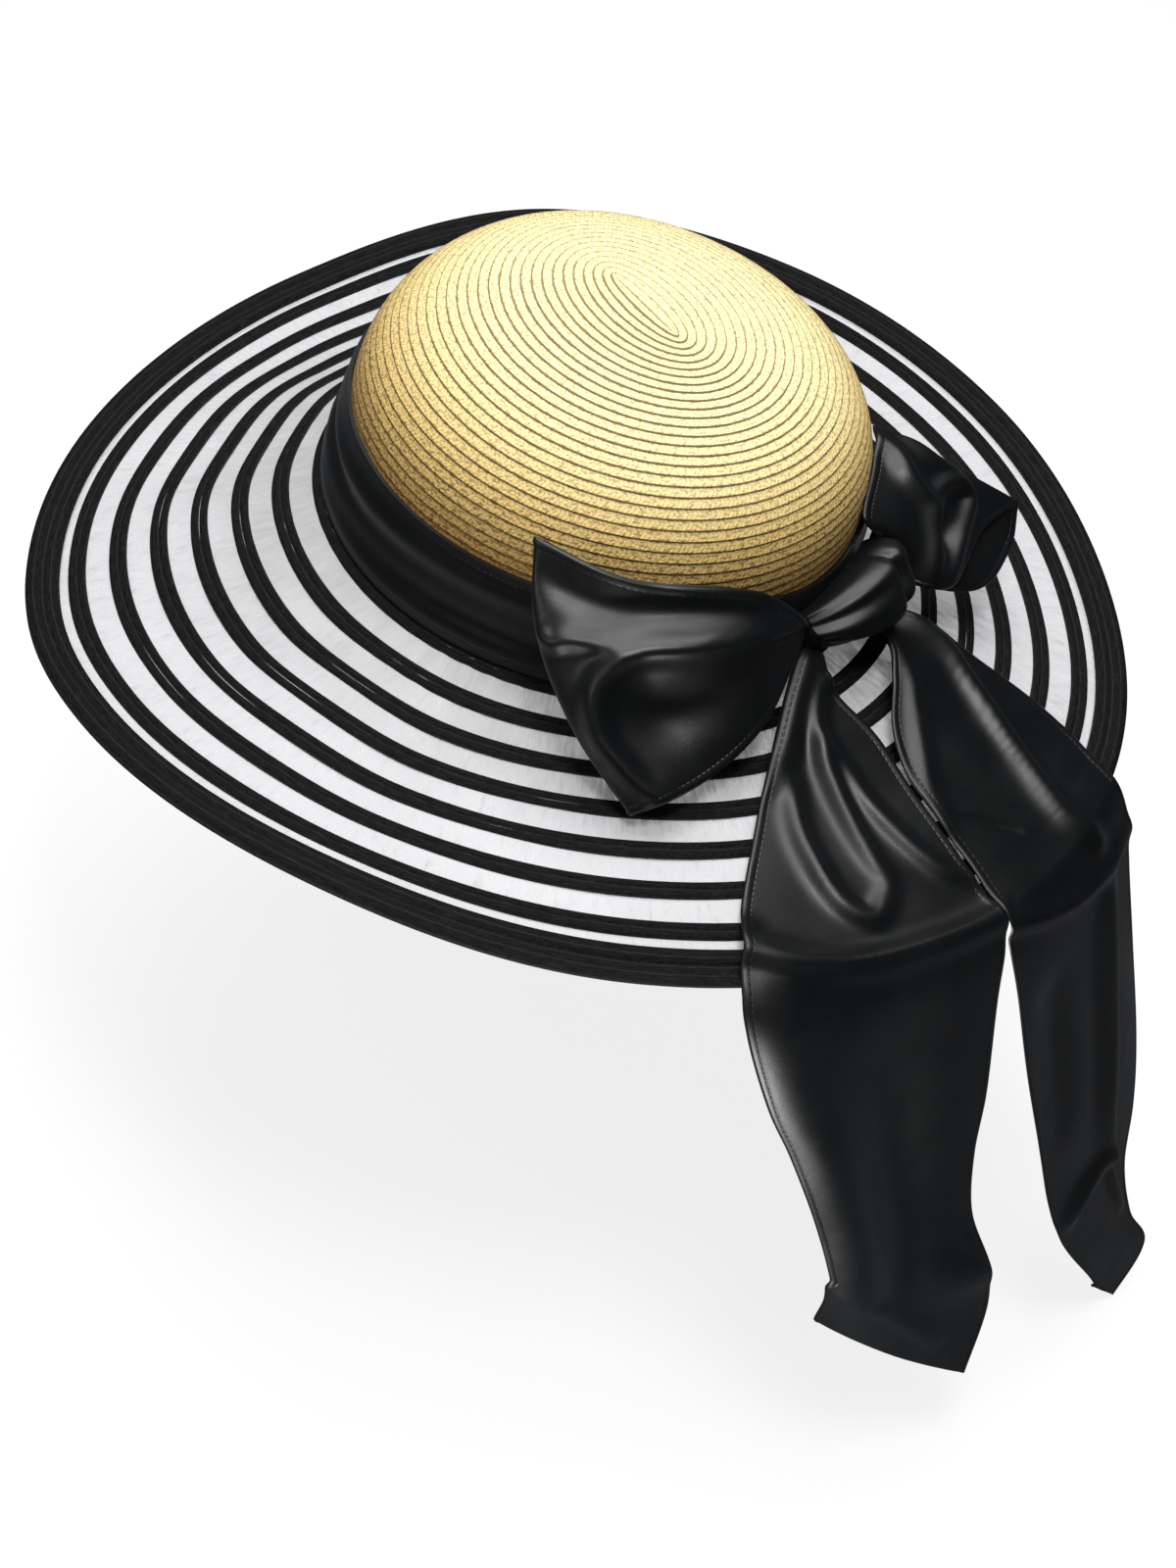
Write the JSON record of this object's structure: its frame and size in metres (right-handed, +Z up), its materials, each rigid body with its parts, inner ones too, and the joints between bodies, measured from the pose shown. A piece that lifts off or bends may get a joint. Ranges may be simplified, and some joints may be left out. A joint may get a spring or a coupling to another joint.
{
  "type": "wide-brim sun hat",
  "caption": "Wide-brim summer hat with a domed sewn-straw crown, a sheer waving brim ringed with black braid, and a black satin sash tied in a bow with long tails.",
  "frame": {"origin": "middle of the head opening, level with the crown's lower edge", "axes": "+Z up through the crown's top; the oval head opening is longest along Y; -Y is the side nearest the bow"},
  "size_m": [0.4094, 0.4838, 0.37],
  "materials": {
    "straw": "sewn golden straw braid, matte",
    "sheer_cloth": "crisp sheer cloth, see-through",
    "black_braid": "flat woven braid, matte",
    "black_satin": "satin"
  },
  "bodies": {
    "root": {"crown": "straw", "brim_cloth": "sheer_cloth", "brim_braid_1": "black_braid", "brim_braid_2": "black_braid", "brim_braid_3": "black_braid", "brim_braid_4": "black_braid", "brim_braid_5": "black_braid", "brim_braid_6": "black_braid", "brim_braid_7": "black_braid", "brim_edge": "black_braid", "sash": "black_satin", "bow_knot": "black_satin", "bow_loop_left": "black_satin", "bow_loop_right": "black_satin", "tail_left": "black_satin", "tail_right": "black_satin"}
  },
  "joints": []
}
